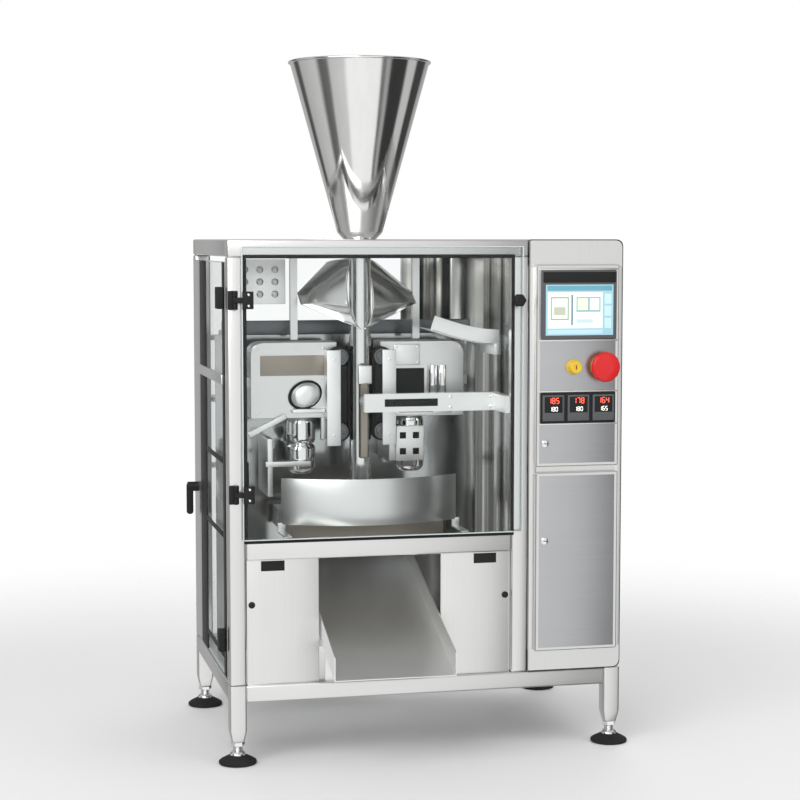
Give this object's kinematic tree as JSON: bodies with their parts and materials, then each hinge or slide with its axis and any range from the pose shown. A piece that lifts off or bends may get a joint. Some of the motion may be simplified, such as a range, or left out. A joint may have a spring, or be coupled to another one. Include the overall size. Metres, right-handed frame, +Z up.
{
  "type": "vertical form fill sealer",
  "caption": "Free-standing stainless bagging machine: film runs over a forming collar, is filled through a funnel, sealed and cut into bags, behind a clear door beside a control cabinet.",
  "frame": {"origin": "on the floor, under the middle of the whole machine's box", "axes": "+Z up, -Y out of the operator's front, +X to the operator's right, where the control cabinet is"},
  "size_m": [1.28, 1.5, 2.08],
  "materials": {
    "satin_steel": "satin brushed stainless",
    "polished_steel": "polished stainless",
    "panel_steel": "fine brushed grey stainless",
    "machined_aluminium": "machined",
    "black_rubber": "matt",
    "black_plastic": "moulded, fine grain",
    "red_plastic": "gloss",
    "yellow_plastic": "satin",
    "clear_sheet": "clear, smooth",
    "screen_glass": "glass front",
    "wound_film": "glossy wound film",
    "heater_bronze": "machined, heat tinted"
  },
  "bodies": {
    "frame": {"base_frame": "satin_steel", "top_frame": "satin_steel", "post_front_left": "satin_steel", "post_front_right": "satin_steel", "post_rear_left": "satin_steel", "post_rear_right": "satin_steel", "front_rail": "satin_steel", "levelling_foot_front_left": "black_rubber", "levelling_foot_front_right": "black_rubber", "levelling_foot_rear_left": "black_rubber", "levelling_foot_rear_right": "black_rubber", "cabinet": "satin_steel", "back_plate": "polished_steel", "forming_plate": "satin_steel", "forming_collar": "polished_steel", "forming_tube": "polished_steel", "filling_funnel": "polished_steel", "pull_rail": "satin_steel", "long_seal_arm": "satin_steel", "jaw_block_left": "machined_aluminium", "jaw_block_right": "machined_aluminium", "jaw_cylinder": "machined_aluminium", "discharge_chute": "polished_steel", "unwind_arm_left": "satin_steel", "unwind_arm_right": "satin_steel", "door_hinge_upper": "black_plastic", "door_hinge_lower": "black_plastic"},
    "front_door": {"front_door": "clear_sheet", "front_door_knob": "black_plastic"},
    "side_door": {"side_door": "clear_sheet"},
    "side_door_handle": {"side_door_handle": "black_plastic"},
    "control_door": {"control_door": "panel_steel", "touch_screen": "screen_glass", "heat_controllers": "black_plastic"},
    "estop_button": {"estop_button": "red_plastic"},
    "key_switch": {"key_switch": "yellow_plastic"},
    "cabinet_lower_door": {"cabinet_lower_door": "panel_steel"},
    "main_switch": {"main_switch": "red_plastic"},
    "pull_unit_left": {"pull_housing_left": "panel_steel", "pull_belt_left": "black_rubber", "pull_motor_left": "polished_steel"},
    "pull_unit_right": {"pull_housing_right": "panel_steel", "pull_belt_right": "black_rubber", "pull_motor_right": "polished_steel"},
    "drive_pulley_left": {"drive_pulley_left": "machined_aluminium"},
    "drive_pulley_right": {"drive_pulley_right": "machined_aluminium"},
    "idler_pulley_left": {"idler_pulley_left": "machined_aluminium"},
    "idler_pulley_right": {"idler_pulley_right": "machined_aluminium"},
    "long_seal": {"long_seal_bar": "heater_bronze"},
    "front_jaw": {"front_jaw": "heater_bronze", "jaw_slide": "satin_steel"},
    "rear_jaw": {"rear_jaw": "heater_bronze"},
    "knife": {"knife": "polished_steel"},
    "film_reel": {"film_roll": "wound_film", "unwind_shaft": "satin_steel"},
    "film_roller_lower": {"film_roller_lower": "machined_aluminium"},
    "film_roller_upper": {"film_roller_upper": "machined_aluminium"},
    "dancer": {"dancer_arms": "satin_steel"},
    "dancer_roller": {"dancer_roller": "machined_aluminium"}
  },
  "joints": [
    {"name": "front_door_hinge", "type": "hinge", "parent": "frame", "child": "front_door", "pos_m": [-0.582, -0.56, 1.1], "axis": [0, 0, -1], "range_deg": [0, 110]},
    {"name": "side_door_hinge", "type": "hinge", "parent": "frame", "child": "side_door", "pos_m": [-0.6, -0.4997, 0.86], "axis": [0, 0, 1], "range_deg": [0, 100]},
    {"name": "side_handle_turn", "type": "hinge", "parent": "side_door", "child": "side_door_handle", "pos_m": [-0.62, 0.152, 0.74], "axis": [-1, 0, 0], "range_deg": [0, 90]},
    {"name": "control_door_hinge", "type": "hinge", "parent": "frame", "child": "control_door", "pos_m": [0.582, -0.5683, 1.16], "axis": [0, 0, 1], "range_deg": [0, 110]},
    {"name": "estop_press", "type": "slide", "parent": "control_door", "child": "estop_button", "axis": [0, 1, 0], "range_m": [0, 0.006], "stiffness_N_per_m": 500},
    {"name": "key_turn", "type": "hinge", "parent": "control_door", "child": "key_switch", "pos_m": [0.43865, -0.5686, 1.159], "axis": [0, 1, 0], "range_deg": [0, 90]},
    {"name": "lower_door_hinge", "type": "hinge", "parent": "frame", "child": "cabinet_lower_door", "pos_m": [0.582, -0.5683, 0.57], "axis": [0, 0, 1], "range_deg": [0, 110]},
    {"name": "main_switch_turn", "type": "hinge", "parent": "frame", "child": "main_switch", "pos_m": [0.62, -0.15, 1.2], "axis": [1, 0, 0], "range_deg": [0, 90]},
    {"name": "pull_left_slide", "type": "slide", "parent": "frame", "child": "pull_unit_left", "axis": [-1, 0, 0], "range_m": [0, 0.02]},
    {"name": "pull_right_slide", "type": "slide", "parent": "frame", "child": "pull_unit_right", "axis": [1, 0, 0], "range_m": [0, 0.02]},
    {"name": "drive_left_spin", "type": "hinge", "parent": "pull_unit_left", "child": "drive_pulley_left", "pos_m": [-0.2131, -0.25, 1.18], "axis": [0, 1, 0], "continuous": true},
    {"name": "idler_left_spin", "type": "hinge", "parent": "pull_unit_left", "child": "idler_pulley_left", "pos_m": [-0.2131, -0.25, 0.95], "axis": [0, 1, 0], "continuous": true},
    {"name": "drive_right_spin", "type": "hinge", "parent": "pull_unit_right", "child": "drive_pulley_right", "pos_m": [-0.0819, -0.25, 1.18], "axis": [0, 1, 0], "continuous": true},
    {"name": "idler_right_spin", "type": "hinge", "parent": "pull_unit_right", "child": "idler_pulley_right", "pos_m": [-0.0819, -0.25, 0.95], "axis": [0, 1, 0], "continuous": true},
    {"name": "long_seal_slide", "type": "slide", "parent": "frame", "child": "long_seal", "axis": [0, -1, 0], "range_m": [0, 0.02]},
    {"name": "front_jaw_slide", "type": "slide", "parent": "frame", "child": "front_jaw", "axis": [0, 1, 0], "range_m": [0, 0.048]},
    {"name": "rear_jaw_slide", "type": "slide", "parent": "frame", "child": "rear_jaw", "axis": [0, -1, 0], "range_m": [0, 0.048]},
    {"name": "knife_slide", "type": "slide", "parent": "rear_jaw", "child": "knife", "axis": [0, -1, 0], "range_m": [0, 0.02]},
    {"name": "film_reel_spin", "type": "hinge", "parent": "frame", "child": "film_reel", "pos_m": [-0.1475, 0.55, 0.5], "axis": [1, 0, 0], "continuous": true},
    {"name": "roller_lower_spin", "type": "hinge", "parent": "frame", "child": "film_roller_lower", "pos_m": [-0.1475, 0.225, 0.8], "axis": [1, 0, 0], "continuous": true},
    {"name": "roller_upper_spin", "type": "hinge", "parent": "frame", "child": "film_roller_upper", "pos_m": [-0.1475, 0.225, 1.22], "axis": [1, 0, 0], "continuous": true},
    {"name": "dancer_swing", "type": "hinge", "parent": "frame", "child": "dancer", "pos_m": [-0.1475, 0.225, 1.02], "axis": [1, 0, 0], "range_deg": [0, 45]},
    {"name": "dancer_roller_spin", "type": "hinge", "parent": "dancer", "child": "dancer_roller", "pos_m": [-0.1475, 0.425, 0.86], "axis": [1, 0, 0], "continuous": true}
  ],
  "couplings": [
    {"joint": "pull_right_slide", "follows": "pull_left_slide", "ratio": 1},
    {"joint": "rear_jaw_slide", "follows": "front_jaw_slide", "ratio": 1},
    {"joint": "idler_left_spin", "follows": "drive_left_spin", "ratio": 1},
    {"joint": "drive_right_spin", "follows": "drive_left_spin", "ratio": -1},
    {"joint": "idler_right_spin", "follows": "drive_left_spin", "ratio": -1}
  ]
}
